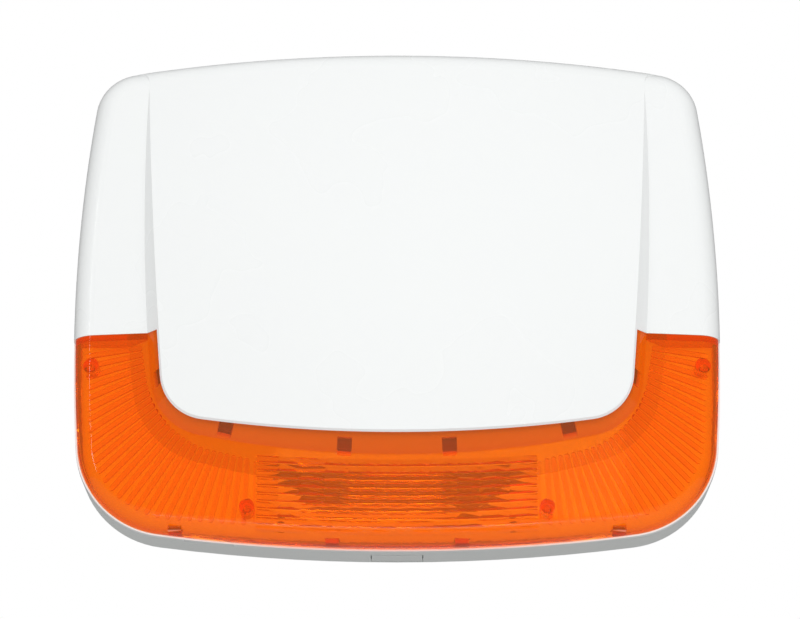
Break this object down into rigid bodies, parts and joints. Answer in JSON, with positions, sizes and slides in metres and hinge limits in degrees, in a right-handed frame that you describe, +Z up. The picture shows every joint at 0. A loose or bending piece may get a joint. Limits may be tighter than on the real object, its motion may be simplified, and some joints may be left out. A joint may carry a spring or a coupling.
{
  "type": "alarm siren",
  "caption": "Outdoor alarm siren with a white hinged cover, an amber U-shaped strobe lens, a sounder, a battery and a wall base.",
  "frame": {"origin": "on the base's wall face, midway between the four fixing holes", "axes": "+X to the right seen from the front, +Z up, the front faces -Y and the wall is the plane Y = 0"},
  "size_m": [0.2844, 0.052, 0.225],
  "materials": {
    "base_plastic": "satin",
    "flap_plastic": "satin",
    "cover_white": "gloss",
    "lens_amber": "gloss",
    "steel": "zinc plated",
    "spring_steel": "drawn wire",
    "rubber_black": "matte",
    "board_green": "solder mask",
    "terminal_green": "satin",
    "part_black": "satin",
    "can_black": "sleeved can",
    "core_grey": "ferrite",
    "copper": "enamelled wire",
    "header_white": "satin",
    "switch_blue": "satin",
    "button_red": "satin",
    "horn_black": "fine texture",
    "disc_grey": "satin",
    "cell_sleeve": "shrink sleeve",
    "bracket_plastic": "satin",
    "led_clear": "clear dome",
    "reflector_dark": "smoked",
    "led_red": "clear red",
    "lead_red": "insulation",
    "lead_black": "insulation",
    "lead_grey": "insulation"
  },
  "bodies": {
    "base": {"base_housing": "base_plastic", "hinge_pins": "steel", "cable_grommet": "rubber_black", "main_board": "board_green", "board_screws": "steel", "terminal_block": "terminal_green", "terminal_screws": "steel", "power_relay": "part_black", "capacitors": "can_black", "drive_transformer": "core_grey", "drive_winding": "copper", "microcontroller": "part_black", "lead_headers": "header_white", "mode_switches": "switch_blue", "reset_switch": "part_black", "cover_tamper_switch": "part_black", "wall_tamper_switch": "part_black", "wall_tamper_spring": "spring_steel", "sounder_horn": "horn_black", "sounder_disc": "disc_grey", "sounder_screws": "steel", "battery_cells": "cell_sleeve", "battery_bracket": "bracket_plastic", "bracket_screws": "steel", "strobe_board": "board_green", "strobe_leds": "led_clear", "strobe_reflector": "reflector_dark", "strobe_screws": "steel", "status_leds": "led_red", "battery_lead": "lead_red", "sounder_lead": "lead_black", "strobe_lead": "lead_grey"},
    "cover": {"front_cover": "cover_white", "lens": "lens_amber", "lens_screws": "steel"},
    "flap": {"screw_flap": "flap_plastic"},
    "lock": {"lock_screw": "steel"},
    "reset": {"reset_button": "button_red"},
    "cover_tamper": {"cover_tamper_plunger": "header_white"},
    "wall_tamper": {"wall_tamper_plunger": "header_white"}
  },
  "joints": [
    {"name": "cover_hinge", "type": "hinge", "parent": "base", "child": "cover", "pos_m": [0, -0.018, 0.11], "axis": [-1, 0, 0], "range_deg": [0, 80]},
    {"name": "screw_flap_hinge", "type": "hinge", "parent": "base", "child": "flap", "pos_m": [0, -0.003, -0.1099], "axis": [1, 0, 0], "range_deg": [0, 90]},
    {"name": "lock_screw_travel", "type": "slide", "parent": "base", "child": "lock", "axis": [0, 0, 1], "range_m": [0, 0.004]},
    {"name": "reset_button_press", "type": "slide", "parent": "base", "child": "reset", "axis": [0, 1, 0], "range_m": [0, 0.0005], "stiffness_N_per_m": 400},
    {"name": "cover_tamper_travel", "type": "slide", "parent": "base", "child": "cover_tamper", "axis": [0, -1, 0], "range_m": [0, 0.002]},
    {"name": "wall_tamper_press", "type": "slide", "parent": "base", "child": "wall_tamper", "axis": [0, -1, 0], "range_m": [0, 0.0022], "stiffness_N_per_m": 300, "deforming": ["wall_tamper_spring"]}
  ],
  "couplings": [
    {"joint": "cover_tamper_travel", "follows": "cover_hinge", "m_per_rad": 0.00143}
  ]
}
